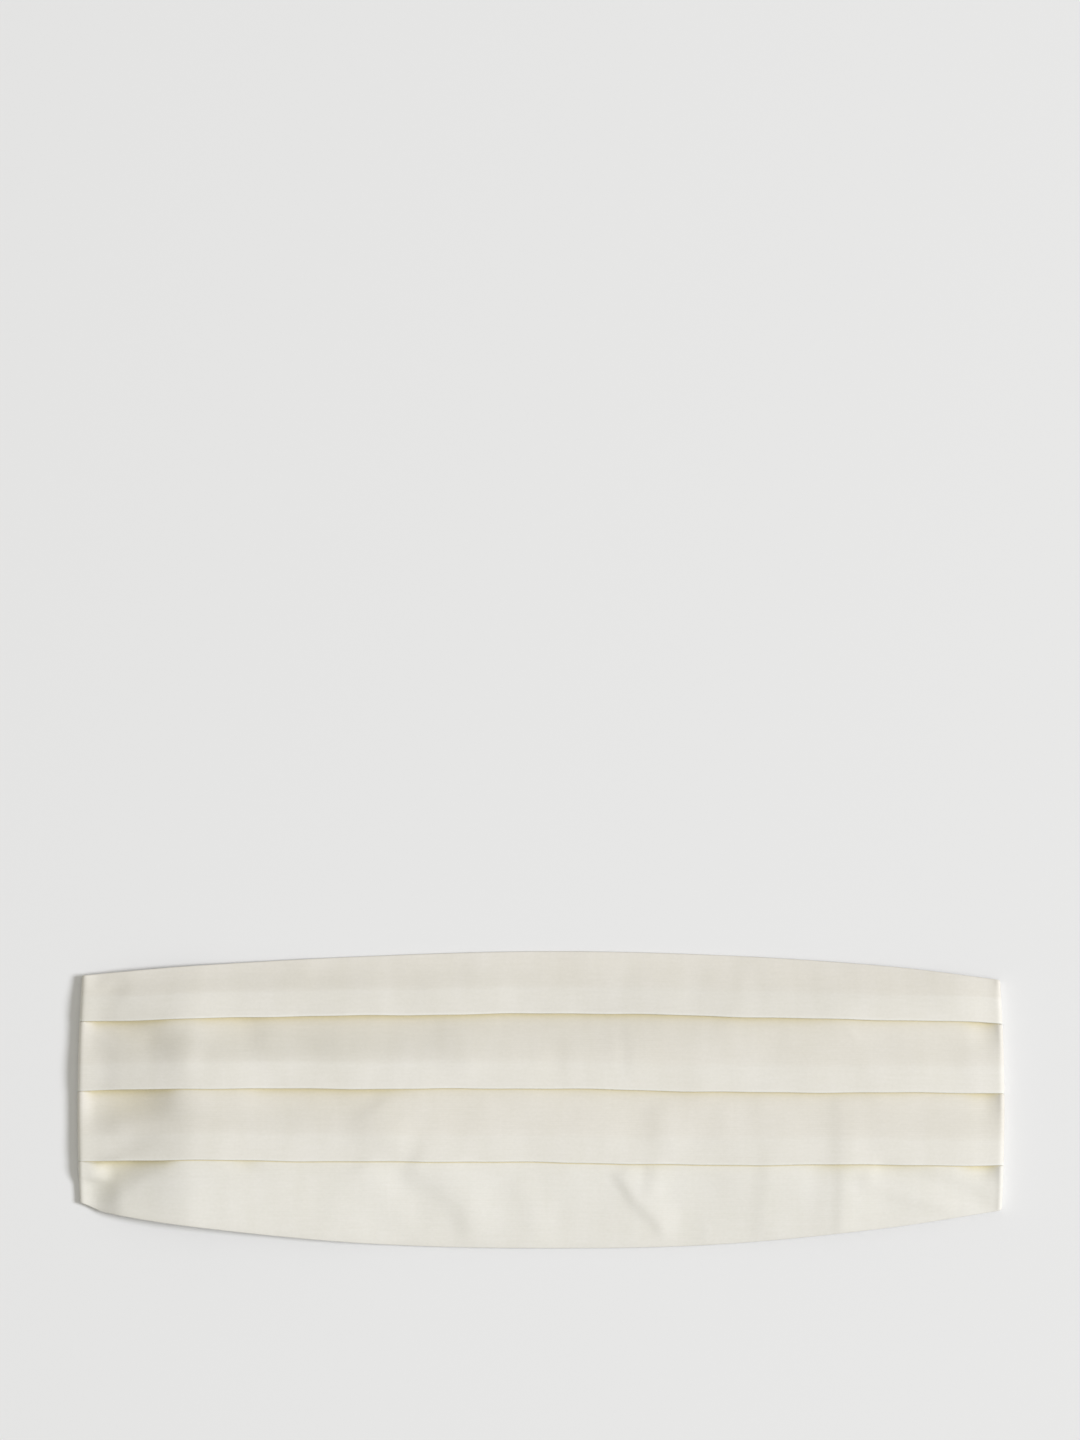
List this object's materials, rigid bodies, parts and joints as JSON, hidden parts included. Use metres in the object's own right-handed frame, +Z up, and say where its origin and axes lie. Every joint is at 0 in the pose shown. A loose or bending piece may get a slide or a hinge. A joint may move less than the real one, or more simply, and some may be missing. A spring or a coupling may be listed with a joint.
{
  "type": "cummerbund",
  "caption": "Ivory silk pleated cummerbund, fastened at the back and laid flat with its front up; the ends turn under in rounded folds to a strap and hook clasp.",
  "frame": {"origin": "on the surface that the cummerbund lies on, at the middle of its bounding box", "axes": "+X along the garment to the wearer's left as it lies front up, +Y across it towards its upper edge, the pleats' edges facing -Y, +Z up from the surface"},
  "size_m": [0.372, 0.119, 0.0108],
  "materials": {
    "silk": "ivory silk in a fine cross-ribbed plain weave, soft low sheen",
    "lining": "ivory satin lining and interlining, matte to soft",
    "strap": "ivory ribbed webbing, matte",
    "clasp": "nickel-plated flat steel, satin"
  },
  "bodies": {
    "root": {"pleated_front": "silk", "hidden_layers": "lining", "strap_left": "strap", "strap_right": "strap", "clasp_eye": "clasp", "clasp_hook": "clasp"}
  },
  "joints": []
}
